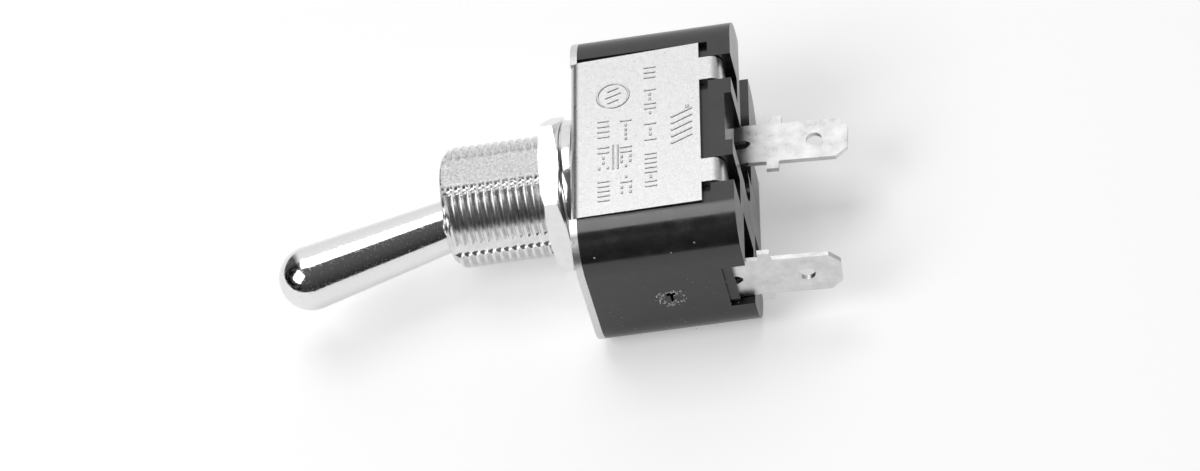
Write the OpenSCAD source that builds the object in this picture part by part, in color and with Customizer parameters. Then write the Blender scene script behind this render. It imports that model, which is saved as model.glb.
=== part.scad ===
// Panel toggle switch: bat lever, threaded bushing, stamped frame, moulded
// housing and two quick-connect terminals.
// +Z points out of the panel along the bushing, and the frame's front face is at z = 0.
// The narrow end that carries the end terminal is at -X. Millimetres and degrees.

/* [Housing] */
// Length of the housing and of the frame's front
body_l = 29.2; // [28.2:0.1:30.2]
// Width of the housing and of the frame's front
body_w = 15.7; // [15.2:0.1:16.8]
// Depth from the frame's front face to the rear of the housing
body_d = 15.9; // [15.5:0.1:18]
// Radius of the upright corners
corner_r = 4.05; // [3:0.05:4.2]
// Thickness of the moulded floor
floor_t = 1.8; // [1.4:0.1:2]
// Width of the mechanism's cavity
cavity_w = 10; // [9.6:0.1:10.4]
// Wall of the housing at the narrow ends
end_wall = 1.9; // [1.8:0.1:2]
// Depth of the rear channel that the terminals stand in
channel_d = 2.3; // [1.8:0.1:2.4]
// Width of the rear channel
channel_w = 5.6; // [5.4:0.1:6]
// Distance from the narrow end to the bridge across the rear channel
bridge_in = 6.7; // [6.4:0.1:7]
// Gap between that bridge and the common blade
bridge_gap = 0.5; // [0.4:0.05:0.6]

/* [Frame] */
// Thickness of the frame's steel sheet
sheet_t = 0.7; // [0.6:0.05:0.75]
// Height that the side plates stand proud of the housing
plate_proud = 0.12; // [0.05:0.01:0.25]
// Width of a side plate
plate_w = 20.1; // [19:0.1:20.6]
// Distance from the front face to a side plate's rear edge
plate_d = 12.8; // [12.4:0.1:13]
// Sideways lean of a side plate from its bend to its rear edge
plate_lean = 0.45; // [0:0.05:0.5]
// Outer radius of the bend between front and side plates
bend_r = 1.0; // [0.9:0.05:1.1]
// Width of a folded tab
tab_w = 2.9; // [2.4:0.1:3.1]
// Distance between the two tabs of a side
tab_gap = 13.2; // [12.8:0.1:13.6]
// Depth of the folded tabs' outer face behind the front face
tab_d = 14.95; // [14.8:0.05:15.1]
// Reach of a folded tab over the housing
tab_reach = 2.9; // [2.4:0.1:3.2]

/* [Bushing] */
// Major radius of the bushing's thread
thread_r = 5.95; // [5.9:0.01:6.05]
// Length of the bushing in front of the frame
bushing_l = 13.5; // [12.8:0.1:14]
// Chamfer at the bushing's mouth
mouth_chamfer = 0.75; // [0.6:0.05:0.8]
// Distance of the bushing's flat from its axis
flat_y = 5.25; // [5.2:0.01:5.35]
// Width of the keyway
key_w = 1.9; // [1.6:0.1:2]
// Depth of the keyway
key_d = 0.75; // [0.5:0.05:0.8]
// Depth of the thread
thread_d = 0.49; // [0.4:0.01:0.55]
// Pitch of the thread, which is cut here as plain rings
thread_pitch = 0.794; // [0.75:0.002:0.85]
// Width of a thread ring's groove
ring_w = 0.4; // [0.35:0.01:0.4]
// Width of the groove that parts the seated nut's thread from the free thread
groove_w = 0.7; // [0.65:0.05:0.8]
// Radius of the bushing's neck in the frame
neck_r = 5.4; // [5.35:0.01:5.5]
// Radius of the lip staked behind the frame
lip_r = 5.7; // [5.65:0.05:5.75]
// Thickness of the staked lip
lip_t = 0.6; // [0.5:0.05:0.7]

/* [Lever] */
// Height of the lever's pivot in front of the frame
pivot_z = 7.0; // [6.8:0.05:7.1]
// Angle of the lever from the bushing's axis at rest
throw_deg = 17.67; // [17:0.1:17.7]
// Distance from the pivot to the centre of the lever's round tip
bat_l = 21.4; // [20:0.1:23]
// Radius of the lever's round tip
bat_tip_r = 3.18; // [3:0.02:3.3]
// Radius of the lever where it leaves its ball
bat_root_r = 2.34; // [2.2:0.02:2.4]
// Radius of the lever's ball
ball_r = 3.55; // [3.5:0.01:3.58]
// Radius of the pivot pin
pivot_r = 0.75; // [0.7:0.01:0.8]
// Length of the pivot pin
pivot_l = 9.6; // [9.2:0.1:9.7]
// Radius of the lever's lower stem
stem_r = 1.8; // [1.7:0.02:1.85]
// Distance from the pivot to the stem's lower end
stem_l = 10.7; // [10.4:0.1:10.8]
// Radius of the plunger
plunger_r = 1.1; // [1:0.02:1.2]
// Distance between the plunger's tip and the rocker's pin in line with the bushing
plunger_off = 2.2; // [2.16:0.02:2.3]
// Wire radius of the plunger's spring
wire_r = 0.17; // [0.12:0.01:0.2]
// Number of turns of the plunger's spring
spring_turns = 7; // [5:1:8]

/* [Nut and washer] */
// Size of the hex nut across its flats
nut_af = 14.3; // [14:0.1:15]
// Thickness of the hex nut
nut_t = 2.0; // [1.6:0.1:2.4]
// Angle of the hex nut about the bushing's axis
nut_turn = -18; // [-60:1:60]
// Outer radius of the lock washer
washer_r = 7.1; // [7:0.05:7.3]
// Thickness of the lock washer's rim
washer_t = 0.65; // [0.5:0.05:0.75]
// Number of the lock washer's teeth
washer_teeth = 10; // [8:1:12]
// Height of the twisted teeth
tooth_h = 1.3; // [1.2:0.02:1.5]

/* [Terminals] */
// Width of a terminal blade
blade_w = 4.9; // [4.6:0.1:5]
// Thickness of a terminal blade
blade_t = 0.5; // [0.4:0.05:0.6]
// Length of a blade from its shoulder ears to its tip
blade_l = 7.85; // [7.2:0.05:8.5]
// Length of a shoulder ear along the blade
ear_l = 1.2; // [0.9:0.1:1.4]
// Width that a shoulder ear stands out
ear_w = 0.95; // [0.6:0.05:1.1]
// Chamfer at a blade's tip
tip_chamfer = 1.1; // [0.8:0.05:1.3]
// Radius of the hole in a blade
blade_hole_r = 0.8; // [0.6:0.05:0.9]
// Distance from a blade's tip to its hole
hole_back = 3.3; // [2.9:0.1:3.5]
// Distance from the rear face to the common blade's ears
common_out = 2.2; // [2:0.1:2.6]
// Distance from the rear face to the end blade's ears
end_out = 0.9; // [0.8:0.1:1.4]
// Place of the common blade along the housing
common_x = 3.25; // [3.1:0.1:3.5]
// Place of the end blade's middle plane, measured in from the narrow end
end_in = 1.15; // [1.1:0.05:1.3]
// Place of the blades across the housing
blade_y = 0.35; // [0:0.05:0.4]
// Lean of the common blade in its own plane
common_lean = 4; // [0:0.5:6]
// Lean of the end blade in its own plane
end_lean = 4.5; // [0:0.5:6]
// Width of the slot at a blade's root
root_slot_w = 1.1; // [0.8:0.1:1.4]
// Reach of the common blade's root slot past the rear face
common_slot_out = 0.45; // [0.3:0.05:0.8]
// Reach of the end blade's root slot past the rear face
end_slot_out = -0.7; // [-0.9:0.05:0.5]
// Length of the slots' pointed end
slot_point = 0.5; // [0.3:0.05:0.8]
// Width of the slots' blunt tip
slot_tip_w = 0.35; // [0.2:0.05:0.6]
// Height of the boss that the end blade comes out of
boss_h = 0.95; // [0.6:0.05:1.2]
// Distance of that boss from the narrow end
boss_back = 0.4; // [0.2:0.05:0.6]
// Length of that boss along the housing
boss_l = 1.8; // [1.6:0.05:1.9]

/* [Contacts] */
// Height of the rocker's pin above the cavity's floor
rocker_h = 4.6; // [4.4:0.05:4.7]
// Radius of the rocker's pin
rocker_pin_r = 0.5; // [0.45:0.01:0.55]
// Angle that the rocker tilts to each side
rocker_deg = 7; // [6.8:0.1:7.2]
// Thickness of the rocker's strip
rocker_t = 0.6; // [0.5:0.05:0.65]
// Width of the rocker
rocker_w = 4.4; // [4.2:0.1:4.6]
// Length of the rocker past its contact's middle
rocker_tip = 1.2; // [1.1:0.1:1.4]
// Height of the rocker's valley above its pin
valley_h = 1.6; // [1.55:0.01:1.62]
// Rise of the rocker's valley for each millimetre along it
valley_rise = 0.42; // [0.4:0.01:0.43]
// Radius of the contact buttons
contact_r = 1.2; // [1:0.05:1.4]
// Thickness of the contact buttons
contact_t = 0.75; // [0.6:0.05:0.8]
// Distance from the cavity's end to the contacts
contact_in = 5.3; // [5.2:0.1:5.5]
// Distance from the cavity's end to the end rivet
end_rivet_in = 2.0; // [1.9:0.1:2.1]
// Place of the common rivet along the housing
common_rivet_x = -1.6; // [-1.8:0.1:-1.4]
// Radius of a rivet's shank
rivet_r = 1.0; // [0.8:0.05:1.1]
// Radius of a rivet's heads
rivet_head_r = 1.55; // [1.4:0.05:1.6]
// Thickness of a rivet's heads
rivet_head_t = 0.45; // [0.35:0.05:0.5]
// Thickness of the insulating liner
liner_t = 0.3; // [0.2:0.05:0.4]
// Width of the housing's rim around the liner
liner_in = 1.0; // [0.95:0.05:1.05]

// Length of a cradle ear along the housing
cradle_l = 4; // [3.8:0.1:4.2]
// Height of the cradle's ears above the rocker's pin
cradle_rise = 1.2; // [1:0.05:1.3]
// Height of the rocker's stop above the rocker's pin
stop_rise = 1.45; // [1.35:0.05:1.5]
// Depth of the end terminal's foot below the rocker's pin
foot_drop = 0.7; // [0.65:0.05:0.75]
// Width that the end terminal's pedestal stands out past the blade
pedestal_out = 0.35; // [0.3:0.05:0.5]

/* [Clearances] */
// Gap between pieces that are laid or pressed together
seat_gap = 0.03; // [0.02:0.01:0.05]
// Radial gap of a running fit
run_gap = 0.04; // [0.03:0.01:0.06]
// Gap around a sheet in its slot
slot_gap = 0.1; // [0.05:0.01:0.12]
// Gap behind the rear edge of a side plate
edge_gap = 0.85; // [0.6:0.05:1]

/* [Hidden] */

BLACK = [0.06, 0.06, 0.065];
STEEL = [0.78, 0.78, 0.77];
NICKEL = [0.66, 0.66, 0.66];
CHROME = [0.86, 0.86, 0.88];
TIN = [0.84, 0.82, 0.76];
BRASS = [0.78, 0.62, 0.3];
SILVER = [0.9, 0.9, 0.9];
FIBRE = [0.45, 0.36, 0.26];

round_fn = 96;
small_fn = 48;
eps = 0.01;
beyond = 40;

// Housing levels, all measured from the frame's front face
front_z = -sheet_t;
rear_z = -body_d;
channel_z = rear_z + channel_d;
floor_z = channel_z + floor_t;
cavity_l = body_l - 2 * end_wall;
relief_y = body_w / 2 + plate_proud - sheet_t - 0.05;
bend_relief = bend_r - sheet_t;
ledge_z = -tab_d + sheet_t + seat_gap;
channel_y = 0.15;
notch_w = 6.1;
notch_d = 0.7;

// Frame
plate_y = body_w / 2 + plate_proud;
tab_fold_r = 1.1;
hole_r = neck_r + seat_gap;

// Bushing bore: a waist at the ball, opening towards the mouth and the housing
waist_r = ball_r + run_gap;
waist_h = 3;
mouth_r = thread_r - 1.1;
tail_r = neck_r - 0.7;
pin_seat_r = pivot_r + run_gap;

// Lever
bore_r = plunger_r + run_gap;
bore_top = -3.4;
spring_l = 4.4;
bat_root_z = 2.6;

// Nut and washer
washer_z = seat_gap + (tooth_h - washer_t) / 2;
nut_z = tooth_h + 2 * seat_gap;
groove_z = nut_z + nut_t + 0.1;
free_z = groove_z + groove_w;
ring_z = free_z + 0.6;
ring_count = floor((bushing_l - mouth_chamfer - ring_w - ring_z) / thread_pitch) + 1;
nut_chamfer_r = nut_af / 2 - 0.2;
nut_chamfer_h = 0.4;

// Contacts
contact_x = cavity_l / 2 - contact_in;
rocker_l = contact_x + rocker_tip;
fixed_x = contact_x + 0.15;
end_foot_x = 0.25 + contact_r - fixed_x;
foot_z = floor_z + seat_gap;
cradle_t = 0.6;
cradle_z = foot_z + blade_t + seat_gap;
pin_z = floor_z + rocker_h;
plunger_reach = pivot_z - pin_z - plunger_off;
end_foot_z = pin_z - foot_drop;
end_blade_x = -body_l / 2 + end_in;
ear_gap = 0.25;
cheek_t = 0.6;
cheek_h = 0.8;
cradle_ear_y = rocker_w / 2 + ear_gap;
arm_x = 4.2;
arm_z = valley_h + arm_x * valley_rise;
end_rivet_x = end_rivet_in - cavity_l / 2;
stop_x = contact_x + 0.2;
pedestal_y = blade_w / 2 + pedestal_out;
common_foot_x = common_rivet_x - rivet_head_r - 0.25;
cradle_foot_x = common_foot_x + 0.2;

// ---------------------------------------------------------------- helpers

// Rounded rectangle prism, from z0 up to z1
module round_block(l, w, r, z0, z1) {
    translate([0, 0, z0]) linear_extrude(z1 - z0) {
        square([l - 2 * r, w], center = true);
        square([l, w - 2 * r], center = true);
        for (sx = [-1, 1], sy = [-1, 1]) {
            translate([sx * (l / 2 - r), sy * (w / 2 - r)]) circle(r, $fn = round_fn);
        }
    }
}

// Box given by its lowest and highest corners
module span(a, b) {
    translate(a) cube([b[0] - a[0], b[1] - a[1], b[2] - a[2]]);
}

// Round cut along the bushing's axis, through everything
module round_cut(r) {
    translate([0, 0, -beyond]) cylinder(h = 2 * beyond, r = r, $fn = round_fn);
}

// Hole for a rivet, from the cavity's floor up
module rivet_cut(x) {
    translate([x, 0, floor_z]) cylinder(h = beyond, r = rivet_r + seat_gap, $fn = small_fn);
}

// Places its children with the lever: the pivot is the origin and +Z runs to the tip
module with_lever() {
    translate([0, 0, pivot_z]) rotate([0, -throw_deg, 0]) children();
}

// Places its children with the rocker: the rocker's pin is the origin
module with_rocker() {
    translate([0, 0, pin_z]) rotate([0, rocker_deg, 0]) children();
}

// Outline of a blade: its tip points to -Y, and y = 0 is at the ears' upper edge
module blade_outline() {
    difference() {
        union() {
            polygon([[-blade_w / 2, 0], [-blade_w / 2, tip_chamfer - blade_l],
                     [tip_chamfer - blade_w / 2, -blade_l], [blade_w / 2 - tip_chamfer, -blade_l],
                     [blade_w / 2, tip_chamfer - blade_l], [blade_w / 2, 0]]);
            translate([-blade_w / 2 - ear_w, -ear_l]) square([blade_w + 2 * ear_w, ear_l]);
        }
        translate([0, hole_back - blade_l]) circle(blade_hole_r, $fn = small_fn);
    }
}

// Outline of a blade with its root: y = 0 is at the housing's rear face
module terminal_outline(out, lean, root_h, slot_out) {
    difference() {
        union() {
            rotate(lean) {
                translate([0, -out]) blade_outline();
                translate([-blade_w / 2, -out - eps]) square([blade_w, out + 0.3]);
            }
            translate([-blade_w / 2, 0]) square([blade_w, root_h]);
        }
        polygon([[-slot_tip_w / 2, -slot_out], [slot_tip_w / 2, -slot_out],
                 [root_slot_w / 2, slot_point - slot_out], [root_slot_w / 2, channel_d],
                 [-root_slot_w / 2, channel_d], [-root_slot_w / 2, slot_point - slot_out]]);
    }
}

// ---------------------------------------------------------------- housing and frame

module tab_slots() {
    slot_w = tab_w + 3 * slot_gap;
    slot_y = plate_y - tab_reach - 1;
    for (sx = [-1, 1], sy = [0, 1]) {
        translate([sx * tab_gap / 2 - slot_w / 2, 0, 0]) mirror([0, sy, 0]) {
            span([0, slot_y, -beyond], [slot_w, beyond, ledge_z]);
            span([0, relief_y, ledge_z - eps], [slot_w, beyond, front_z + eps]);
        }
    }
}

module side_reliefs() {
    half = plate_w / 2 + slot_gap;
    for (sy = [0, 1]) {
        mirror([0, sy, 0])
            span([-half - plate_lean, relief_y, -plate_d - edge_gap], [half, beyond, eps]);
        mirror([0, sy, 0])
            span([-half - plate_lean, relief_y - bend_relief, front_z - bend_relief], [half, beyond, eps]);
    }
}

module housing_cavity() {
    span([-cavity_l / 2, -cavity_w / 2, floor_z], [cavity_l / 2, cavity_w / 2, eps]);
    // seats of the liner and of the staked lip
    round_block(body_l - 2 * liner_in, body_w - 2 * liner_in, corner_r - liner_in,
                front_z - liner_t - 2 * seat_gap, eps);
    translate([0, 0, front_z - lip_t - 3 * seat_gap])
        cylinder(h = beyond, r = lip_r + slot_gap, $fn = round_fn);
}

// Channel in the rear face, with a flush bridge between the two blades
module rear_channel() {
    y0 = channel_y - channel_w / 2;
    y1 = channel_y + channel_w / 2;
    difference() {
        union() {
            span([-beyond, y0, -beyond], [bridge_in - body_l / 2, y1, channel_z]);
            span([common_x - blade_w / 2 - bridge_gap, y0, -beyond], [beyond, y1, channel_z]);
        }
        span([boss_back - body_l / 2, -beyond, channel_z - boss_h],
             [boss_back + boss_l - body_l / 2, beyond, 0]);
    }
    // recess of the common rivet's tail
    translate([common_rivet_x, 0, -beyond])
        cylinder(h = beyond + channel_z, r = rivet_head_r + rivet_head_t, $fn = small_fn);
}

module terminal_slots() {
    // common blade through the floor
    span([common_x - blade_w / 2 - slot_gap, blade_y - blade_t / 2 - slot_gap, channel_z - eps],
         [common_x + blade_w / 2 + slot_gap, blade_y + blade_t / 2 + slot_gap, floor_z + eps]);
    // end blade through the floor and up the end wall
    span([end_blade_x - blade_t / 2 - slot_gap, blade_y - blade_w / 2 - slot_gap, channel_z - boss_h - eps],
         [end_blade_x + blade_t / 2 + slot_gap, blade_y + blade_w / 2 + slot_gap, 0]);
    span([end_blade_x - blade_t / 2 - slot_gap, blade_y - blade_w / 2 - slot_gap, end_foot_z - seat_gap],
         [eps - cavity_l / 2, blade_y + blade_w / 2 + slot_gap, 0]);
    for (p = [common_rivet_x, end_rivet_x]) {
        translate([p, 0, channel_z - eps]) cylinder(h = beyond, r = rivet_r + seat_gap, $fn = small_fn);
    }
}

module housing() {
    color(BLACK) difference() {
        union() {
            difference() {
                round_block(body_l, body_w, corner_r, rear_z, front_z);
                housing_cavity();
            }
            // pedestal of the end terminal and stop of the rocker
            span([-cavity_l / 2 - eps, -pedestal_y, floor_z - eps],
                 [end_foot_x - 0.3, pedestal_y, end_foot_z - seat_gap]);
            span([stop_x - 1, -2, floor_z - eps], [stop_x + 1, 2, pin_z + stop_rise]);
        }
        side_reliefs();
        tab_slots();
        rear_channel();
        // shallow notch beside the common terminal
        span([-notch_w / 2, -beyond, -beyond], [notch_w / 2, channel_y, rear_z + notch_d]);
        terminal_slots();
    }
}

// Section of the bent sheet across the front and both side plates
module frame_section() {
    inner_r = bend_r - sheet_t;
    difference() {
        union() {
            translate([-plate_y, -plate_d]) square([2 * plate_y, plate_d - bend_r]);
            translate([bend_r - plate_y, -plate_d]) square([2 * (plate_y - bend_r), plate_d]);
            for (s = [-1, 1]) translate([s * (plate_y - bend_r), -bend_r]) circle(bend_r, $fn = small_fn);
        }
        translate([sheet_t - plate_y, -beyond])
            square([2 * (plate_y - sheet_t), beyond - sheet_t - inner_r]);
        translate([bend_r - plate_y, -beyond])
            square([2 * (plate_y - bend_r), beyond - sheet_t]);
        for (s = [-1, 1]) translate([s * (plate_y - bend_r), -bend_r]) circle(inner_r, $fn = small_fn);
    }
}

// Section of a tab that folds in behind the housing's ledge, at +Y
module tab_section() {
    y1 = plate_y;
    y0 = plate_y - sheet_t;
    bend_y = plate_y - tab_fold_r;
    bend_z = tab_fold_r - tab_d;
    translate([y0, bend_z]) square([sheet_t, -plate_d - bend_z + 0.4]);
    intersection() {
        translate([bend_y, bend_z]) difference() {
            circle(tab_fold_r, $fn = small_fn);
            circle(tab_fold_r - sheet_t, $fn = small_fn);
        }
        translate([bend_y, -tab_d]) square([tab_fold_r, tab_fold_r]);
    }
    translate([y1 - tab_reach, -tab_d]) square([tab_reach - tab_fold_r, sheet_t]);
}

module frame() {
    half = plate_w / 2;
    color(STEEL) difference() {
        union() {
            difference() {
                round_block(body_l, body_w, corner_r, front_z, 0);
                for (sy = [0, 1]) {
                    mirror([0, sy, 0])
                        span([-half - plate_lean, plate_y - bend_r, -beyond],
                             [half - plate_lean, beyond, beyond]);
                }
            }
            // front strip, bends and leaning side plates
            intersection() {
                rotate([90, 0, 90]) translate([0, 0, -half - plate_lean])
                    linear_extrude(2 * half + plate_lean) frame_section();
                rotate([90, 0, 0]) translate([0, 0, -beyond]) linear_extrude(2 * beyond)
                    polygon([[-half - plate_lean, eps], [-half - plate_lean, -bend_r], [-half, -beyond],
                             [half, -beyond], [half, -plate_d], [half - plate_lean, -bend_r],
                             [half - plate_lean, eps]]);
            }
            for (sx = [-1, 1], sy = [0, 1]) {
                translate([sx * tab_gap / 2 - tab_w / 2, 0, 0]) mirror([0, sy, 0])
                    rotate([90, 0, 90]) linear_extrude(tab_w) tab_section();
            }
        }
        round_cut(hole_r);
    }
}

module liner() {
    rim = liner_in + slot_gap;
    color(FIBRE) difference() {
        round_block(body_l - 2 * rim, body_w - 2 * rim, corner_r - rim,
                    front_z - liner_t - seat_gap, front_z - seat_gap);
        round_cut(lip_r + slot_gap / 2);
    }
}

// ---------------------------------------------------------------- bushing, nut, washer

module bushing() {
    low = front_z - lip_t;
    // depth and height of a ring's groove at its lower edge, root and upper edge
    ring_groove = [[0, -ring_w / 2], [thread_d, 0], [0, ring_w / 2]];
    color(NICKEL) difference() {
        rotate_extrude($fn = round_fn) polygon([
            [tail_r, low], [lip_r, low], [lip_r, front_z - seat_gap], [neck_r, front_z - seat_gap],
            [neck_r, seat_gap], [thread_r, seat_gap], [thread_r, groove_z],
            [thread_r - thread_d, groove_z], [thread_r - thread_d, free_z], [thread_r, free_z],
            each [for (k = [0 : ring_count - 1], p = ring_groove)
                [thread_r - p[0], ring_z + k * thread_pitch + p[1]]],
            [thread_r, bushing_l - mouth_chamfer],
            [thread_r - mouth_chamfer, bushing_l], [mouth_r, bushing_l],
            [waist_r, pivot_z + waist_h], [waist_r, pivot_z - waist_h]]);
        // flat on one wide side, above the frame
        span([-beyond, -beyond, seat_gap + eps], [beyond, -flat_y, beyond]);
        // keyway towards the end terminal
        span([-beyond, -key_w / 2, seat_gap + eps], [key_d - thread_r, key_w / 2, beyond]);
        // seats of the pivot pin, open towards the housing
        intersection() {
            union() {
                span([-pin_seat_r, -beyond, -beyond], [pin_seat_r, beyond, pivot_z]);
                translate([0, beyond, pivot_z]) rotate([90, 0, 0])
                    cylinder(h = 2 * beyond, r = pin_seat_r, $fn = small_fn);
            }
            round_cut(pivot_l / 2 + 0.1);
        }
    }
}

module hex_nut() {
    corner = nut_af / sqrt(3);
    top = nut_z + nut_t;
    color(NICKEL) difference() {
        intersection() {
            translate([0, 0, nut_z]) rotate(nut_turn) cylinder(h = nut_t, r = corner, $fn = 6);
            rotate_extrude($fn = round_fn) polygon([
                [0, nut_z], [nut_chamfer_r, nut_z], [corner + eps, nut_z + nut_chamfer_h],
                [corner + eps, top - nut_chamfer_h], [nut_chamfer_r, top], [0, top]]);
        }
        round_cut(thread_r + run_gap);
    }
}

module lock_washer() {
    ring_r = (washer_r + thread_r) / 2 + 0.1;
    tooth_w = 1.5;
    color(NICKEL) union() {
        difference() {
            translate([0, 0, washer_z]) cylinder(h = washer_t, r = washer_r, $fn = round_fn);
            round_cut(ring_r);
        }
        // twisted teeth that lean between the frame and the nut
        for (k = [0 : washer_teeth - 1]) rotate(k * 360 / washer_teeth) {
            intersection() {
                translate([ring_r - 0.1, 0, washer_z + washer_t / 2]) rotate([32, 0, 0])
                    cube([0.9, tooth_w, washer_t * 0.6], center = true);
                difference() {
                    translate([0, 0, seat_gap]) cylinder(h = tooth_h, r = washer_r - 0.1, $fn = round_fn);
                    round_cut(thread_r + 3 * run_gap);
                }
            }
        }
    }
}

// ---------------------------------------------------------------- terminals

module common_terminal() {
    y0 = blade_y - blade_t / 2;
    y1 = blade_y + blade_t / 2;
    x0 = common_x - blade_w / 2;
    x1 = common_x + blade_w / 2;
    color(TIN) difference() {
        union() {
            translate([common_x, y1, rear_z]) rotate([90, 0, 0]) linear_extrude(blade_t)
                terminal_outline(common_out, -common_lean, foot_z + blade_t - rear_z, common_slot_out);
            span([x0, -blade_w / 2, foot_z], [x1, y1, foot_z + blade_t]);
            span([common_foot_x, -blade_w / 2, foot_z], [x0 + eps, blade_w / 2, foot_z + blade_t]);
        }
        rivet_cut(common_rivet_x);
    }
}

module end_terminal() {
    x0 = end_blade_x - blade_t / 2;
    color(TIN) difference() {
        union() {
            translate([x0, blade_y, rear_z]) rotate([90, 0, 90]) linear_extrude(blade_t)
                terminal_outline(end_out, end_lean, end_foot_z + blade_t - rear_z, end_slot_out);
            span([x0, blade_y - blade_w / 2, end_foot_z],
                 [end_foot_x, blade_y + blade_w / 2, end_foot_z + blade_t]);
        }
        rivet_cut(end_rivet_x);
    }
}

// Rivet with its upper head at z1 and its tail spread in the rear channel
module rivet(x, z1) {
    low = channel_z - rivet_head_t;
    color(BRASS) translate([x, 0, 0]) {
        translate([0, 0, low]) cylinder(h = z1 - low + rivet_head_t, r = rivet_r, $fn = small_fn);
        for (z = [low - seat_gap, z1 + seat_gap]) {
            translate([0, 0, z]) cylinder(h = rivet_head_t, r = rivet_head_r, $fn = small_fn);
        }
    }
}

module common_rivet() {
    rivet(common_rivet_x, cradle_z + cradle_t);
}

module end_rivet() {
    rivet(end_rivet_x, end_foot_z + blade_t);
}

module cradle() {
    half = cradle_l / 2;
    out_y = cradle_ear_y + cheek_t;
    color(BRASS) difference() {
        union() {
            span([cradle_foot_x, -out_y, cradle_z], [half, out_y, cradle_z + cradle_t]);
            for (sy = [0, 1]) mirror([0, sy, 0])
                span([-half, cradle_ear_y, cradle_z], [half, out_y, pin_z + cradle_rise]);
        }
        translate([0, beyond, pin_z]) rotate([90, 0, 0])
            cylinder(h = 2 * beyond, r = rocker_pin_r + seat_gap, $fn = small_fn);
        rivet_cut(common_rivet_x);
    }
}

module rocker_pin() {
    half = cradle_ear_y + cheek_t + 0.3;
    color(STEEL) translate([0, half, pin_z]) rotate([90, 0, 0])
        cylinder(h = 2 * half, r = rocker_pin_r, $fn = small_fn);
}

module fixed_contact() {
    z = end_foot_z + blade_t + seat_gap;
    color(SILVER) translate([-fixed_x, 0, z]) cylinder(h = contact_t, r = contact_r, $fn = small_fn);
}

// ---------------------------------------------------------------- rocker

// Side outline of the rocker's strip, in X and Z from its pin
module rocker_strip() {
    t = rocker_t;
    polygon([[-rocker_l, arm_z], [-arm_x, arm_z], [0, valley_h], [arm_x, arm_z], [rocker_l, arm_z],
             [rocker_l, arm_z - t], [arm_x, arm_z - t], [0, valley_h - t], [-arm_x, arm_z - t],
             [-rocker_l, arm_z - t]]);
}

module rocker() {
    cheek_x = 1.5;
    color(BRASS) with_rocker() difference() {
        union() {
            rotate([90, 0, 0]) translate([0, 0, -rocker_w / 2]) linear_extrude(rocker_w) rocker_strip();
            for (sy = [0, 1]) mirror([0, sy, 0])
                rotate([90, 0, 0]) translate([0, 0, -rocker_w / 2]) linear_extrude(cheek_t)
                    translate([-cheek_x, -cheek_h]) square([2 * cheek_x, cheek_h + valley_h - 0.2]);
        }
        translate([0, beyond, 0]) rotate([90, 0, 0])
            cylinder(h = 2 * beyond, r = rocker_pin_r + run_gap, $fn = small_fn);
    }
}

module moving_contact() {
    color(SILVER) with_rocker() translate([-contact_x, 0, arm_z - rocker_t - contact_t - seat_gap])
        cylinder(h = contact_t, r = contact_r, $fn = small_fn);
}

// ---------------------------------------------------------------- lever

module lever() {
    taper = (bat_tip_r - bat_root_r) / (bat_l - bat_root_z);
    color(CHROME) with_lever() difference() {
        union() {
            sphere(ball_r, $fn = round_fn);
            translate([0, 0, bat_l]) sphere(bat_tip_r, $fn = round_fn);
            translate([0, 0, bat_root_z])
                cylinder(h = bat_l - bat_root_z, r1 = bat_root_r, r2 = bat_tip_r, $fn = round_fn);
            translate([0, 0, -stem_l]) cylinder(h = stem_l, r = stem_r, $fn = round_fn);
        }
        translate([0, 0, -beyond]) cylinder(h = beyond + bore_top, r = bore_r, $fn = small_fn);
        translate([0, beyond, 0]) rotate([90, 0, 0])
            cylinder(h = 2 * beyond, r = pivot_r + seat_gap, $fn = small_fn);
    }
}

module pivot_pin() {
    color(STEEL) with_lever() translate([0, pivot_l / 2, 0]) rotate([90, 0, 0])
        cylinder(h = pivot_l, r = pivot_r, $fn = small_fn);
}

module plunger() {
    top = bore_top - spring_l - 0.2;
    color(TIN) with_lever() {
        translate([0, 0, plunger_r - plunger_reach]) sphere(plunger_r, $fn = small_fn);
        translate([0, 0, plunger_r - plunger_reach])
            cylinder(h = top + plunger_reach - plunger_r, r = plunger_r, $fn = small_fn);
    }
}

// Coil swept along a helix from its lower end
function coil_centre(t, r, h, turns) = [r * cos(360 * turns * t), r * sin(360 * turns * t), h * t];
function coil_ring(t, r, h, turns, w, n) = [
    for (k = [0 : n - 1])
        let (a = 360 * turns * t, b = 360 * k / n)
        coil_centre(t, r, h, turns) + [w * cos(b) * cos(a), w * cos(b) * sin(a), w * sin(b)]
];

module coil(r, h, turns, w) {
    sides = 8;
    rings = 14 * turns;
    points = [for (i = [0 : rings]) each coil_ring(i / rings, r, h, turns, w, sides)];
    walls = [
        for (i = [0 : rings - 1], k = [0 : sides - 1])
            let (a = i * sides + k, b = i * sides + (k + 1) % sides)
            each [[a, b, b + sides], [a, b + sides, a + sides]]
    ];
    start = [[for (k = [0 : sides - 1]) sides - 1 - k]];
    finish = [[for (k = [0 : sides - 1]) rings * sides + k]];
    polyhedron(points, concat(walls, start, finish));
}

module plunger_spring() {
    color(STEEL) with_lever() translate([0, 0, bore_top - 0.1 - wire_r - (spring_l - 2 * wire_r - 0.1)])
        coil(plunger_r - wire_r - 0.05, spring_l - 2 * wire_r - 0.1, spring_turns, wire_r);
}

housing();
frame();
bushing();
liner();
common_terminal();
end_terminal();
common_rivet();
end_rivet();
cradle();
rocker_pin();
fixed_contact();
rocker();
moving_contact();
lever();
pivot_pin();
plunger_spring();
plunger();
lock_washer();
hex_nut();
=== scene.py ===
"""Looks of the panel toggle switch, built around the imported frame.

Sizes and places of shapes are in mm, which add_mesh turns into the scene's metres. The table and the
lamps are in metres. +Z runs out of the bushing. The switch lies on its +Y side, so the table is a plane
across +Y and "up" in the picture is -Y.
"""

import math
import random

import bmesh
import bpy
from mathutils import Matrix, Quaternion, Vector


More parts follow.
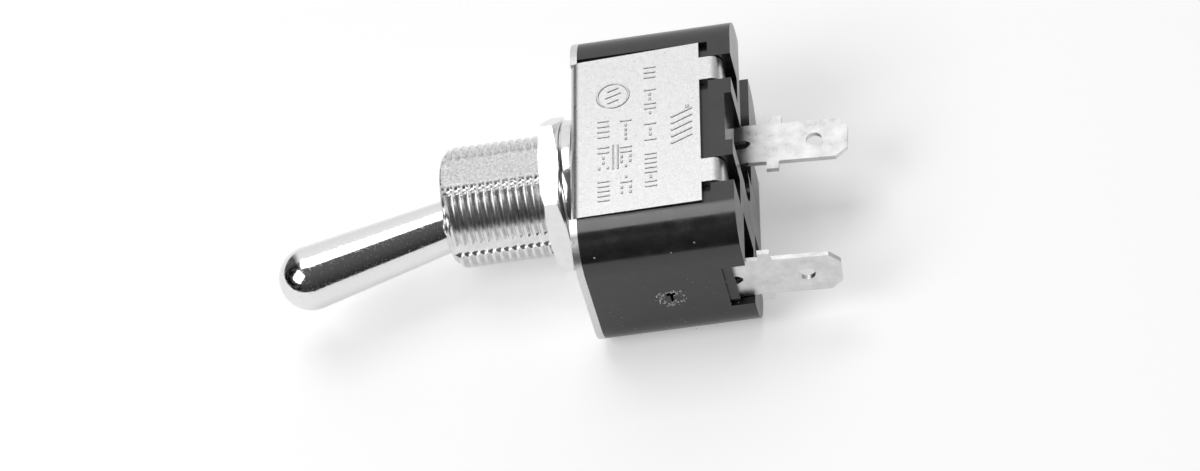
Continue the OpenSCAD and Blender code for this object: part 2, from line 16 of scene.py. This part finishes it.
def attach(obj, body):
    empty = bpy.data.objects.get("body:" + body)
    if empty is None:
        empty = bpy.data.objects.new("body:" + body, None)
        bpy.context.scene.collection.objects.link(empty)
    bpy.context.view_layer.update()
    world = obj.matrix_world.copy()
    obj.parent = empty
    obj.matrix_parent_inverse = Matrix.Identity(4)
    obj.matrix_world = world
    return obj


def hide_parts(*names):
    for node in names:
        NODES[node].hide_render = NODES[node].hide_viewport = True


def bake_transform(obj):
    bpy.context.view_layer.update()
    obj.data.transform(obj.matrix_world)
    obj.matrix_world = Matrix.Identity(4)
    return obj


MM = 0.001
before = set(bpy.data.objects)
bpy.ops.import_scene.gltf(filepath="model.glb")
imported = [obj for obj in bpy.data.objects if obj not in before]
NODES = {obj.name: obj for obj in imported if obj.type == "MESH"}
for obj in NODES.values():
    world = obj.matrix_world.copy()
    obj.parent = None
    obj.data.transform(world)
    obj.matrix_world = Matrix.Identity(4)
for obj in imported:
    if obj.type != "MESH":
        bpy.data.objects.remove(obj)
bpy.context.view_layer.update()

# ------------------------------------------------------------------ camera

CAMERA_AT = Vector((-281.3, -311.6, -64.3)) * MM
CAMERA_TURN = Quaternion((0.22732, 0.66855, 0.35758, -0.61115))
LENS_MM = 130.3
SENSOR_MM = 36
NEAREST = 10 * MM


def make_camera():
    camera = bpy.data.objects.new("camera", bpy.data.cameras.new("camera"))
    camera.data.lens = LENS_MM
    camera.data.sensor_width = SENSOR_MM
    camera.data.clip_start = NEAREST
    camera.location = CAMERA_AT
    camera.rotation_mode = "QUATERNION"
    camera.rotation_quaternion = CAMERA_TURN
    bpy.context.scene.collection.objects.link(camera)
    bpy.context.scene.camera = camera


make_camera()

# ------------------------------------------------------------------ materials

WHITE = (1, 1, 1, 1)
# the part of a factor's range that colour and rough use unless told otherwise
NOISE_LOW = 0.3
NOISE_HIGH = 0.7
# the Mix node's sockets when it mixes colours
MIX_A = 6
MIX_B = 7
MIX_RESULT = 2


class Nodes:
    """A material's node tree with a Principled shader, and short ways to add to it."""

    def __init__(self, name, color, metallic=0.0, roughness=0.5, **sockets):
        self.material = bpy.data.materials.new(name)
        self.material.use_nodes = True
        self.tree = self.material.node_tree
        self.shader = self.tree.nodes["Principled BSDF"]
        self.set(self.shader, "Base Color", (*color, 1.0))
        self.set(self.shader, "Metallic", metallic)
        self.set(self.shader, "Roughness", roughness)
        for socket, value in sockets.items():
            self.set(self.shader, socket.replace("_", " "), value)
        self.place = self.add("ShaderNodeTexCoord").outputs["Object"]

    def add(self, kind, **values):
        node = self.tree.nodes.new(kind)
        for key, value in values.items():
            setattr(node, key, value)
        return node

    def set(self, node, socket, value):
        node.inputs[socket].default_value = value

    def link(self, out, node, socket):
        self.tree.links.new(out, node.inputs[socket])

    def stretch(self, scale):
        """The object's coordinates, with each axis scaled."""
        node = self.add("ShaderNodeMapping")
        self.link(self.place, node, "Vector")
        self.set(node, "Scale", scale)
        return node.outputs["Vector"]

    def noise(self, cells, detail=3.0, roughness=0.6, place=None):
        """Noise with about so many cells to the metre."""
        node = self.add("ShaderNodeTexNoise")
        self.link(place or self.place, node, "Vector")
        for socket, value in (("Scale", cells), ("Detail", detail), ("Roughness", roughness)):
            self.set(node, socket, value)
        return node.outputs["Fac"]

    def spread(self, fac, low, high, from_low, from_high):
        """Maps from_low..from_high of a factor onto low..high."""
        node = self.add("ShaderNodeMapRange")
        self.link(fac, node, "Value")
        limits = (("From Min", from_low), ("From Max", from_high), ("To Min", low), ("To Max", high))
        for socket, value in limits:
            self.set(node, socket, value)
        return node.outputs["Result"]

    def colour(self, fac, low, high, from_low=NOISE_LOW, from_high=NOISE_HIGH):
        """Varies the colour between two RGB values by a factor."""
        node = self.add("ShaderNodeMix", data_type="RGBA")
        self.link(self.spread(fac, 0, 1, from_low, from_high), node, 0)
        self.set(node, MIX_A, (*low, 1.0))
        self.set(node, MIX_B, (*high, 1.0))
        self.link(node.outputs[MIX_RESULT], self.shader, "Base Color")

    def rough(self, fac, low, high, from_low=NOISE_LOW, from_high=NOISE_HIGH):
        """Varies the roughness between two values by a factor."""
        self.link(self.spread(fac, low, high, from_low, from_high), self.shader, "Roughness")

    def bump(self, height, strength, depth):
        """Adds a bump with a depth in mm, on top of any bump set before."""
        node = self.add("ShaderNodeBump")
        self.set(node, "Strength", strength)
        self.set(node, "Distance", depth * MM)
        self.link(height, node, "Height")
        before = self.shader.inputs["Normal"].links
        if before:
            self.link(before[0].from_socket, node, "Normal")
        self.link(node.outputs["Normal"], self.shader, "Normal")


def grey(v):
    return (v, v, v)


def make_phenolic():
    """Glossy black moulding, slightly wavy, with faint lines along Z."""
    m = Nodes("phenolic", grey(0.01), roughness=0.14, IOR=1.7)
    m.colour(m.noise(900, 5), grey(0.012), grey(0.026))
    m.rough(m.noise(420, 6, 0.7), 0.1, 0.24)
    m.bump(m.noise(1600, 3), 0.12, 0.02)
    m.bump(m.noise(160, 1), 0.4, 0.1)
    m.bump(m.noise(1100, 2, place=m.stretch((1, 1, 0.02))), 0.25, 0.03)
    return m.material


def make_steel():
    m = Nodes("satin_steel", grey(0.74), metallic=1.0, roughness=0.34)
    m.colour(m.noise(5200, 4, 0.8), grey(0.66), grey(0.86))
    m.rough(m.noise(3000, 4, 0.7), 0.24, 0.4)
    m.bump(m.noise(4600, 3, 0.7), 0.3, 0.03)
    return m.material


# The plate's steel made darker: painted shade on the raised bars.
def make_shade_painted_stamping():
    m = Nodes("stamped_steel_painted_shade", grey(0.65), metallic=1.0, roughness=0.32)
    m.colour(m.noise(4000, 4, 0.8), grey(0.42), grey(0.86))
    return m.material


def make_nickel():
    m = Nodes("nickel", grey(0.86), metallic=1.0, roughness=0.2)
    m.colour(m.noise(1400, 3), grey(0.76), grey(0.9))
    m.rough(m.noise(700, 2), 0.18, 0.24)
    return m.material


def make_cast():
    """The grainy look of the bushing's flat."""
    m = Nodes("cast_flat", grey(0.8), metallic=1.0, roughness=0.45)
    m.colour(m.noise(3600, 6, 0.85), grey(0.28), grey(0.78), 0.32, 0.6)
    m.rough(m.noise(2600, 4), 0.3, 0.46)
    m.bump(m.noise(3600, 6, 0.85), 0.6, 0.08)
    return m.material


def make_nut():
    m = Nodes("nut_nickel", grey(0.9), metallic=1.0, roughness=0.13)
    m.colour(m.noise(900, 4), grey(0.86), grey(0.93))
    m.rough(m.noise(1200, 4), 0.1, 0.18)
    return m.material


def make_chrome():
    m = Nodes("chrome", grey(0.9), metallic=1.0, roughness=0.07)
    m.rough(m.noise(3600, 5, 0.85), 0.05, 0.34, 0.47, 0.66)
    m.bump(m.noise(450, 4), 0.16, 0.05)
    m.bump(m.noise(3500, 3, 0.8), 0.15, 0.01)
    return m.material


def make_tinned():
    m = Nodes("tinned", grey(0.95), metallic=1.0, roughness=0.3)
    m.colour(m.noise(700, 3), grey(0.68), grey(0.88))
    m.rough(m.noise(700, 3), 0.24, 0.4)
    m.bump(m.noise(300, 2), 0.07, 0.05)
    return m.material


def make_crumb():
    m = Nodes("moulding_crumbs", grey(0.5), roughness=0.6)
    m.colour(m.noise(3000, 4), grey(0.2), grey(0.85))
    return m.material


# Near-black and unreflecting: painted shade for the hole in the moulding mark.
def make_hole_shade():
    return Nodes("painted_hole_shade", grey(0.002), roughness=0.9, Specular_IOR_Level=0.0).material


def make_inner(name, color, roughness):
    """A plain metal for the mechanism inside the housing."""
    m = Nodes(name, color, metallic=1.0, roughness=roughness)
    m.rough(m.noise(1500, 4), roughness - 0.08, roughness + 0.12)
    m.bump(m.noise(2000, 3), 0.2, 0.03)
    return m.material


def make_fibre():
    m = Nodes("fibre", (0.2, 0.14, 0.08), roughness=0.8)
    m.colour(m.noise(2500, 6), (0.16, 0.11, 0.06), (0.26, 0.19, 0.11))
    m.bump(m.noise(3500, 4), 0.4, 0.04)
    return m.material


PHENOLIC = make_phenolic()
STEEL = make_steel()
NICKEL = make_nickel()
CAST = make_cast()
NUT = make_nut()
SHADE_PAINTED_STAMPING = make_shade_painted_stamping()
CRUMB = make_crumb()
HOLE_SHADE = make_hole_shade()
CHROME = make_chrome()
TINNED = make_tinned()
BRASS = make_inner("brass", (0.62, 0.42, 0.16), 0.3)
SILVER = make_inner("silver", grey(0.85), 0.25)
SPRING = make_inner("spring_steel", grey(0.55), 0.25)
FIBRE = make_fibre()

# nodes that a piece of this script replaces have a material too
LOOKS = {
    "housing": PHENOLIC, "frame": STEEL, "liner": FIBRE, "bushing": NICKEL,
    "common_terminal": TINNED, "end_terminal": TINNED, "common_rivet": BRASS, "end_rivet": BRASS,
    "cradle": BRASS, "rocker_pin": SPRING, "rocker": BRASS,
    "fixed_contact": SILVER, "moving_contact": SILVER,
    "lever": CHROME, "pivot_pin": SPRING, "plunger": TINNED, "plunger_spring": SPRING,
    "lock_washer": NUT, "hex_nut": NUT,
}
for node, material in LOOKS.items():
    for slot in NODES[node].material_slots:
        slot.material = material

# ------------------------------------------------------------------ mesh helpers

SAME_POINT_M = 1e-7
BOX_FACES = ((0, 1, 2, 3), (7, 6, 5, 4), (0, 4, 5, 1), (1, 5, 6, 2), (2, 6, 7, 3), (3, 7, 4, 0))


def add_box(verts, faces, corners):
    """Adds a box from its 8 corners: four around one end, then the same four at the other."""
    start = len(verts)
    verts += corners
    faces += [tuple(start + i for i in f) for f in BOX_FACES]


def add_hoop(verts, faces, steps, section):
    """Adds a closed hoop. section gives the points of its closed profile at an angle."""
    start = len(verts)
    for k in range(steps):
        verts += section(2 * math.pi * k / steps)
    sides = (len(verts) - start) // steps
    for k in range(steps):
        at, on = start + k * sides, start + (k + 1) % steps * sides
        for i in range(sides):
            after = (i + 1) % sides
            faces.append((at + i, on + i, on + after, at + after))


def add_mesh(name, verts, faces, material, body, smooth=True):
    """Makes a piece from corners in mm, and ties it to the body if one is given."""
    mesh = bpy.data.meshes.new(name)
    mesh.from_pydata([tuple(c * MM for c in v) for v in verts], [], faces)
    b = bmesh.new()
    b.from_mesh(mesh)
    bmesh.ops.remove_doubles(b, verts=b.verts, dist=SAME_POINT_M)
    bmesh.ops.dissolve_degenerate(b, edges=b.edges, dist=SAME_POINT_M)
    bmesh.ops.recalc_face_normals(b, faces=b.faces)
    b.to_mesh(mesh)
    b.free()
    for polygon in mesh.polygons:
        polygon.use_smooth = smooth
    mesh.materials.append(material)
    piece = bpy.data.objects.new(name, mesh)
    bpy.context.scene.collection.objects.link(piece)
    if body:
        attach(piece, body)
    return piece


# ------------------------------------------------------------------ threaded bushing

THREAD_R = 5.95
THREAD_ROOT = 5.46
PITCH = 0.79375
BUSHING_TOP = 13.5
BUSHING_FOOT = 0.03
MOUTH_CHAMFER = 0.75
MOUTH_R = 4.97
MOUTH_EDGE = 0.12
WAIST_R = 3.6
WAIST_TOP = 10.0
WAIST_FOOT = 4.0
TAIL_R = 4.7
TAIL_END = -1.3
LIP_R = 5.7
LIP_TOP = -0.73
NECK_R = 5.4
FLAT_Y = 5.25
KEY_HALF = 0.95
KEY_X = 5.3
KEY_SHOULDER = 5.6
KEY_SHOULDER_Y = 2.3
# steps around the bushing: even ones, a pair at each wall of the keyway, so many radians to either side of
# it, and fine ones, in degrees, where the flat cuts the thread
EVEN_STEPS = 300
KEY_WALL_HALF = 0.0005
FLAT_ANGLE = 270
RUN_OUT_FROM = 240.1
RUN_OUT_STEP = 0.3
RUN_OUT_STEPS = 50
# the flat's own look is on faces this near to it whose normal's Y is below this
FLAT_BAND = 0.3
FLAT_FACING = -0.85
THREAD_SHARP = math.radians(20)


def ring_angles():
    """Angles around the bushing, in order."""
    wall = math.asin(KEY_HALF / THREAD_R)
    angles = [2 * math.pi * k / EVEN_STEPS for k in range(EVEN_STEPS)]
    angles += [math.pi + s * (wall + d) for s in (-1, 1) for d in (-KEY_WALL_HALF, KEY_WALL_HALF)]
    for k in range(RUN_OUT_STEPS):
        one_side = RUN_OUT_FROM + RUN_OUT_STEP * k
        angles += [math.radians(one_side), math.radians(2 * FLAT_ANGLE - one_side)]
    return sorted(angles)


def outer_point(angle, z, r):
    """A point of the thread's surface, cut by the flat, the keyway, its shoulder and the mouth's chamfer."""
    z = min(max(z, BUSHING_FOOT), BUSHING_TOP)
    r = min(r, THREAD_R - MOUTH_CHAMFER + (BUSHING_TOP - z))
    x, y = r * math.cos(angle), r * math.sin(angle)
    if abs(THREAD_R * math.sin(angle)) < KEY_HALF and math.cos(angle) < 0:
        x = max(x, -KEY_X)
    elif 0 < y < KEY_SHOULDER_Y:
        x = max(x, -KEY_SHOULDER)
    return (x, max(y, -FLAT_Y), z)


def add_helix(verts, faces, angles):
    """Adds the right-handed thread: one strip of faces for each part of its profile."""
    # one pitch of the profile, as (part of a pitch, radius)
    profile = [(0.0, THREAD_ROOT), (0.07, THREAD_ROOT), (0.37, THREAD_R), (0.7, THREAD_R)]
    n, m = len(angles), len(profile)
    # it starts below the foot and ends past the mouth, and outer_point holds it between the two
    turns = int(BUSHING_TOP / PITCH) + 3
    for t in range(turns + 1):
        for a in angles:
            for part, r in profile:
                verts.append(outer_point(a, (t - 1 + a / (2 * math.pi) + part) * PITCH, r))
    for j in range(turns * n):
        for i in range(m):
            low = [j * m + i, (j + 1) * m + i]
            high = [k + 1 for k in low] if i < m - 1 else [(j + n) * m, (j + 1 + n) * m]
            if high[1] < len(verts):
                faces.append((low[0], low[1], high[1], high[0]))


def add_bore(verts, faces, angles):
    """Adds the bore, from the mouth's rim down to the staked lip and back up to the frame."""
    rings = [
        (THREAD_R - MOUTH_CHAMFER, BUSHING_TOP), (MOUTH_R, BUSHING_TOP),
        (MOUTH_R - MOUTH_EDGE, BUSHING_TOP - MOUTH_EDGE), (WAIST_R, WAIST_TOP), (WAIST_R, WAIST_FOOT),
        (TAIL_R, TAIL_END), (LIP_R, TAIL_END), (LIP_R, LIP_TOP), (NECK_R, LIP_TOP), (NECK_R, BUSHING_FOOT),
    ]
    n, start = len(angles), len(verts)
    for r, z in rings:
        verts += [(r * math.cos(a), r * math.sin(a), z) for a in angles]
    verts += [outer_point(a, BUSHING_FOOT, THREAD_ROOT) for a in angles]
    for i in range(len(rings)):
        low = start + i * n
        for k in range(n):
            after = (k + 1) % n
            faces.append((low + k, low + after, low + n + after, low + n + k))


def make_bushing():
    """The bushing with a real helix, and the flat's own look on what lies at the flat."""
    angles = ring_angles()
    verts, faces = [], []
    add_helix(verts, faces, angles)
    add_bore(verts, faces, angles)
    piece = add_mesh("threaded_bushing", verts, faces, NICKEL, "base")
    mesh = piece.data
    mesh.materials.append(CAST)
    for polygon in mesh.polygons:
        if polygon.center.y < (FLAT_BAND - FLAT_Y) * MM and polygon.normal.y < FLAT_FACING:
            polygon.material_index = 1
    mesh.set_sharp_from_angle(angle=THREAD_SHARP)
    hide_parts("bushing")


make_bushing()

# ------------------------------------------------------------------ plunger's spring

PIVOT = Vector((0, 0, 7.0))
THROW = math.radians(17.67)
WIRE_R = 0.17
WIRE_SIDES = 8
COIL_R = 0.88
COIL_TOP = -3.67
COIL_BOTTOM = -7.43
COIL_TURNS = 7
STEPS_A_TURN = 24


def make_spring():
    """A coil inside the lever's stem, set in place at one length."""
    steps, sides = STEPS_A_TURN * COIL_TURNS, WIRE_SIDES
    turn = Matrix.Rotation(-THROW, 3, "Y")
    verts, faces = [], []
    for i in range(steps + 1):
        a = 2 * math.pi * COIL_TURNS * i / steps
        z = COIL_BOTTOM + (COIL_TOP - COIL_BOTTOM) * i / steps
        for k in range(sides):
            b = 2 * math.pi * k / sides
            r = COIL_R + WIRE_R * math.cos(b)
            verts.append(turn @ Vector((r * math.cos(a), r * math.sin(a), z + WIRE_R * math.sin(b))) + PIVOT)
    for i in range(steps):
        for k in range(sides):
            at, on = i * sides + k, i * sides + (k + 1) % sides
            faces.append((at, on, on + sides, at + sides))
    faces += [tuple(range(sides)), tuple(steps * sides + k for k in reversed(range(sides)))]
    piece = add_mesh("coil_spring", verts, faces, SPRING, None)
    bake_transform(piece)
    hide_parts("plunger_spring")


make_spring()

# ------------------------------------------------------------------ lock washer

RIM_INNER = 6.35
RIM_OUTER = 7.08
RIM_LOW = 0.06
RIM_HIGH = 1.3
RIM_EDGE = 0.16
RIM_LOW_CUT = 0.05
RIM_HIGH_CUT = 0.06
RIM_STEPS = 160
TEETH = 20
TOOTH_INNER = 6.02
TOOTH_ROOT = 0.1
TOOTH_LOW = 0.04
TOOTH_HIGH = 1.32
# half a tooth's width in radians, and the share of it at which a face's other side lies
TOOTH_HALF_TURN = 0.09
TOOTH_LEAN = 0.4
WASHER_SHARP = math.radians(35)


def rim_section(a):
    """The rim's profile at an angle, with softened outer edges."""
    profile = [
        (RIM_INNER, RIM_LOW), (RIM_OUTER - RIM_EDGE, RIM_LOW),
        (RIM_OUTER - RIM_LOW_CUT, RIM_LOW + RIM_LOW_CUT), (RIM_OUTER, RIM_LOW + RIM_EDGE),
        (RIM_OUTER, RIM_HIGH - 2 * RIM_EDGE), (RIM_OUTER - RIM_HIGH_CUT, RIM_HIGH - RIM_EDGE),
        (RIM_OUTER - RIM_EDGE, RIM_HIGH), (RIM_INNER, RIM_HIGH),
    ]
    return [(r * math.cos(a), r * math.sin(a), z) for r, z in profile]


def tooth_corners(a):
    """A tooth that leans over from its low face to its high face, around an angle."""
    corners = []
    for r in (TOOTH_INNER, RIM_INNER + TOOTH_ROOT):
        for s, z in ((-1, TOOTH_LOW), (-TOOTH_LEAN, TOOTH_LOW), (1, TOOTH_HIGH), (TOOTH_LEAN, TOOTH_HIGH)):
            turn = a + s * TOOTH_HALF_TURN
            corners.append((r * math.cos(turn), r * math.sin(turn), z))
    return corners


def make_washer():
    """A rim with twisted teeth pointing inwards."""
    verts, faces = [], []
    add_hoop(verts, faces, RIM_STEPS, rim_section)
    for k in range(TEETH):
        add_box(verts, faces, tooth_corners(2 * math.pi * k / TEETH))
    piece = add_mesh("toothed_washer", verts, faces, NUT, "washer")
    piece.data.set_sharp_from_angle(angle=WASHER_SHARP)
    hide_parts("lock_washer")


make_washer()

# ------------------------------------------------------------------ stamped bars on the side plate

PLATE_Y = 7.97
RISE = 0.07
SLOPE = 0.07
SUNK = 0.02
# each row's place in Z, and where its groups start and end in X
ROWS = {-3.35: ((1.7, -1.0), (-1.7, -5.0), (-6.1, -9.1)),
        -5.55: ((1.4, -1.5), (-2.0, -5.0), (-5.8, -8.4)),
        -7.95: ((8.0, 6.0), (5.0, 1.4), (0.6, -2.1), (-3.3, -8.0))}
ROW_PITCH = 0.62
# of each random draw in a row, bars lie below the first and pairs of dots below the second
BARS_BELOW = 0.6
PAIRS_BELOW = 0.8
# lengths in X and in Z
BAR = (0.27, 1.2)
DOT = (0.42, 0.27)
DOT_OFFSET = 0.42
LONG_BAR = (3.2, 0.22)
LONG_BARS = ((-3.4, -4.3), (-3.4, -4.75))
RING_AT = (4.6, -4.3)
RING_R = 1.7
RING_WIDTH = 0.3
RING_STEPS = 72
RING_BAR_APART = 0.75
RING_BAR_WIDTH = 0.26
RING_BAR_SHORTER = 0.5
RING_BAR_TURN = 20
SLANTED_FROM = (1.2, -11.0)
SLANTED_COUNT = 5
SLANTED_APART = 0.85
SLANTED_BAR = (0.32, 2.3)
SLANTED_TURN = 24
LAST_DOT_AT = (1.9, -11.6)
LAST_DOT = (0.5, 0.4)


def add_bar(verts, faces, at, size, turn=0.0):
    """Adds a raised bar with sloping sides; size is in X and in Z, before the turn in degrees."""
    c, s = math.cos(math.radians(turn)), math.sin(math.radians(turn))
    corners = []
    for y, cut in ((-PLATE_Y + SUNK, 0.0), (-PLATE_Y - RISE, SLOPE)):
        for sx, sz in ((-1, -1), (1, -1), (1, 1), (-1, 1)):
            u, v = sx * (size[0] / 2 - cut), sz * (size[1] / 2 - cut)
            corners.append((at[0] + c * u - s * v, y, at[1] + s * u + c * v))
    add_box(verts, faces, corners)


def ring_section(a):
    """The raised ring's profile at an angle, with sloping sides."""
    inner = RING_R - RING_WIDTH
    profile = [(inner, -PLATE_Y + SUNK), (inner + SLOPE, -PLATE_Y - RISE),
               (RING_R - SLOPE, -PLATE_Y - RISE), (RING_R, -PLATE_Y + SUNK)]
    return [(RING_AT[0] + r * math.cos(a), y, RING_AT[1] + r * math.sin(a)) for r, y in profile]


def add_row(verts, faces, z, first, last, draw):
    """Adds a group of bars, pairs of dots and single dots between two places in X."""
    count = max(2, round((first - last) / ROW_PITCH))
    for k in range(count):
        x = first + (last - first) * (k + 0.5) / count
        kind = draw.random()
        if kind < BARS_BELOW:
            add_bar(verts, faces, (x, z), BAR)
        elif kind < PAIRS_BELOW:
            add_bar(verts, faces, (x, z + DOT_OFFSET), DOT)
            add_bar(verts, faces, (x, z - DOT_OFFSET), DOT)
        else:
            add_bar(verts, faces, (x, z), DOT)


def make_stamping():
    """Rows of plain bars and dots, a plain ring and a group of slanted bars: no lettering."""
    verts, faces = [], []
    draw = random.Random(4)
    for z, groups in ROWS.items():
        for first, last in groups:
            add_row(verts, faces, z, first, last, draw)
    for at in LONG_BARS:
        add_bar(verts, faces, at, LONG_BAR)
    add_hoop(verts, faces, RING_STEPS, ring_section)
    for k in (-1, 0, 1):
        at = (RING_AT[0] + RING_BAR_APART * k, RING_AT[1])
        size = (RING_BAR_WIDTH, RING_R - RING_BAR_SHORTER * abs(k))
        add_bar(verts, faces, at, size, RING_BAR_TURN)
    for k in range(SLANTED_COUNT):
        at = (SLANTED_FROM[0] - SLANTED_APART * k, SLANTED_FROM[1])
        add_bar(verts, faces, at, SLANTED_BAR, SLANTED_TURN)
    add_bar(verts, faces, LAST_DOT_AT, LAST_DOT)
    add_mesh("plain_stamping", verts, faces, SHADE_PAINTED_STAMPING, "base", smooth=False)


make_stamping()

# ------------------------------------------------------------------ moulding mark on the narrow end

END_X = -14.6
CRUMB_SIDES = 6
# random ranges, as shares of a side's angle or of the crumb's radius
CRUMB_TURN = (-0.3, 0.3)
CRUMB_FOOT = (0.6, 1.2)
CRUMB_TOP = (0.25, 0.7)
CRUMB_RISE = (0.25, 0.6)
# places and sizes are in Y and in Z
MARK_AT = (0.6, -8.25)
MARK_R = (0.85, 1.15)
MARK_UNEVEN = 0.2
MARK_CRUMBS = 95
MARK_CRUMB_R = (0.06, 0.16)
SPECKS = 70
SPECK_R = (0.02, 0.06)
SPECK_Y = (-4.0, 6.5)
SPECK_Z = (-14.5, -1.5)
SPOTS = ((-6.6, -2.2), (-5.9, -9.4), (-6.9, -11.8))
SPOT_R = 0.12
# painted shade for the hole in the mark: near-black boxes, from and to in Y, then from and to in Z
HOLE = ((-0.05, 0.25, -8.65, -7.8), (0.25, 1.1, -8.38, -8.12))
HOLE_RISE = 0.03


def add_crumb(verts, faces, at, radius, draw):
    """Adds a rough flattened lump on the narrow end."""
    start, n = len(verts), CRUMB_SIDES

    def corner(k, spread):
        a = 2 * math.pi * (k + draw.uniform(*CRUMB_TURN)) / n
        r = radius * draw.uniform(*spread)
        return at[0] + r * math.cos(a), at[1] + r * math.sin(a)

    for k in range(n):
        verts.append((END_X + SUNK, *corner(k, CRUMB_FOOT)))
    for k in range(n):
        y, z = corner(k, CRUMB_TOP)
        verts.append((END_X - radius * draw.uniform(*CRUMB_RISE), y, z))
    faces.append(tuple(start + k for k in range(n)))
    faces.append(tuple(start + n + k for k in reversed(range(n))))
    for k in range(n):
        after = (k + 1) % n
        faces.append((start + k, start + n + k, start + n + after, start + after))


def make_mark():
    """An uneven ring of crumbs, specks and spots around it, and near-black boxes in its middle that paint the
    shade of a hole.
    """
    draw = random.Random(8)
    verts, faces = [], []
    for k in range(MARK_CRUMBS):
        a = draw.uniform(0, 2 * math.pi)
        far = draw.gauss(1.0, MARK_UNEVEN)
        at = (MARK_AT[0] + MARK_R[0] * far * math.cos(a), MARK_AT[1] + MARK_R[1] * far * math.sin(a))
        add_crumb(verts, faces, at, draw.uniform(*MARK_CRUMB_R), draw)
    for k in range(SPECKS):
        at = (draw.uniform(*SPECK_Y), draw.uniform(*SPECK_Z))
        add_crumb(verts, faces, at, draw.uniform(*SPECK_R), draw)
    for at in SPOTS:
        add_crumb(verts, faces, at, SPOT_R, draw)
    add_mesh("moulding_mark", verts, faces, CRUMB, "base", smooth=False)
    verts, faces = [], []
    for y0, y1, z0, z1 in HOLE:
        corners = []
        for x in (END_X + SUNK, END_X - HOLE_RISE):
            corners += [(x, y0, z0), (x, y1, z0), (x, y1, z1), (x, y0, z1)]
        add_box(verts, faces, corners)
    add_mesh("moulding_mark_painted_hole_shade", verts, faces, HOLE_SHADE, "base", smooth=False)


make_mark()

# ------------------------------------------------------------------ table and light

TABLE_Y = 8.1 * MM
TABLE_HALF = 1.5
# how strongly the table shines by itself for the camera and in reflections
TABLE_SEEN = 0.38
TABLE_REFLECTED = 0.25
LAMP_AWAY = 0.8
# each a direction and how the cosine to it maps onto a value: from, to, value at from, value at to.
# BACKDROP's and ROOM's values are strengths of light, and FRONT's is a factor on both.
BACKDROP = ((0.975, 0.0, 0.223), 0.4, 0.62, 0.0, 0.77)
ROOM = ((0, -1, 0), 0.2, 1.0, 0.03, 0.1)
FRONT = ((0, 0, 1), 0.42, 0.6, 1.0, 0.1)


def make_floor():
    """A white table, which a camera ray sees a little brighter. It is clear from below."""
    h = TABLE_HALF
    mesh = bpy.data.meshes.new("floor")
    mesh.from_pydata([(-h, 0, -h), (h, 0, -h), (h, 0, h), (-h, 0, h)], [], [(0, 1, 2, 3)])
    m = Nodes("white_table", grey(0.8), roughness=0.9)
    path = m.add("ShaderNodeLightPath")
    shiny = m.add("ShaderNodeMath", operation="MULTIPLY")
    m.link(path.outputs["Is Glossy Ray"], shiny, 0)
    m.set(shiny, 1, TABLE_REFLECTED)
    seen = m.add("ShaderNodeMath", operation="MULTIPLY_ADD")
    m.link(path.outputs["Is Camera Ray"], seen, 0)
    m.set(seen, 1, TABLE_SEEN)
    m.link(shiny.outputs[0], seen, 2)
    glow = m.add("ShaderNodeEmission")
    m.set(glow, "Color", WHITE)
    m.link(seen.outputs[0], glow, "Strength")
    both = m.add("ShaderNodeAddShader")
    m.link(m.shader.outputs[0], both, 0)
    m.link(glow.outputs[0], both, 1)
    clear = m.add("ShaderNodeBsdfTransparent")
    geometry = m.add("ShaderNodeNewGeometry")
    side = m.add("ShaderNodeMixShader")
    m.link(geometry.outputs["Backfacing"], side, 0)
    m.link(both.outputs[0], side, 1)
    m.link(clear.outputs[0], side, 2)
    m.link(side.outputs[0], m.tree.nodes["Material Output"], "Surface")
    mesh.materials.append(m.material)
    floor = bpy.data.objects.new("floor", mesh)
    floor.location = (0, TABLE_Y, 0)
    bpy.context.scene.collection.objects.link(floor)


def make_world():
    """A dim room with a pale backdrop on the far side of the table; a camera ray sees white."""
    world = bpy.data.worlds.new("studio")
    bpy.context.scene.world = world
    world.use_nodes = True
    nodes, links = world.node_tree.nodes, world.node_tree.links
    place = nodes.new("ShaderNodeTexCoord")

    def ramp(direction, low, high, at_low, at_high):
        dot = nodes.new("ShaderNodeVectorMath")
        dot.operation = "DOT_PRODUCT"
        dot.inputs[1].default_value = direction
        links.new(place.outputs["Generated"], dot.inputs[0])
        node = nodes.new("ShaderNodeMapRange")
        links.new(dot.outputs["Value"], node.inputs["Value"])
        for socket, value in (("From Min", low), ("From Max", high), ("To Min", at_low), ("To Max", at_high)):
            node.inputs[socket].default_value = value
        return node.outputs["Result"]

    def combine(a, b, operation):
        node = nodes.new("ShaderNodeMath")
        node.operation = operation
        links.new(a, node.inputs[0])
        links.new(b, node.inputs[1])
        return node.outputs[0]

    around = combine(ramp(*BACKDROP), ramp(*ROOM), "ADD")
    dim = nodes["Background"]
    dim.inputs["Color"].default_value = WHITE
    links.new(combine(around, ramp(*FRONT), "MULTIPLY"), dim.inputs["Strength"])
    seen = nodes.new("ShaderNodeBackground")
    seen.inputs["Color"].default_value = WHITE
    path = nodes.new("ShaderNodeLightPath")
    mix = nodes.new("ShaderNodeMixShader")
    links.new(path.outputs["Is Camera Ray"], mix.inputs[0])
    links.new(dim.outputs[0], mix.inputs[1])
    links.new(seen.outputs[0], mix.inputs[2])
    links.new(mix.outputs[0], nodes["World Output"].inputs["Surface"])


def make_lamp(name, direction, size, glow, turn=0.0):
    """A square lamp of a given brightness that faces the switch, turned about its own axis in degrees."""
    toward = Vector(direction).normalized()
    data = bpy.data.lights.new(name, "AREA")
    data.size = size
    data.energy = glow * math.pi * size * size
    light = bpy.data.objects.new(name, data)
    light.location = toward * LAMP_AWAY
    light.rotation_mode = "QUATERNION"
    light.rotation_quaternion = toward.to_track_quat("Z", "Y") @ Quaternion((0, 0, 1), math.radians(turn))
    bpy.context.scene.collection.objects.link(light)


make_floor()
make_world()
make_lamp("front_softbox", (-0.42, -0.70, 0.57), size=0.46, glow=4.4, turn=45)
make_lamp("top_softbox", (0.26, -0.96, 0.12), size=0.5, glow=2.7)

scene = bpy.context.scene
scene.view_settings.view_transform = "Standard"
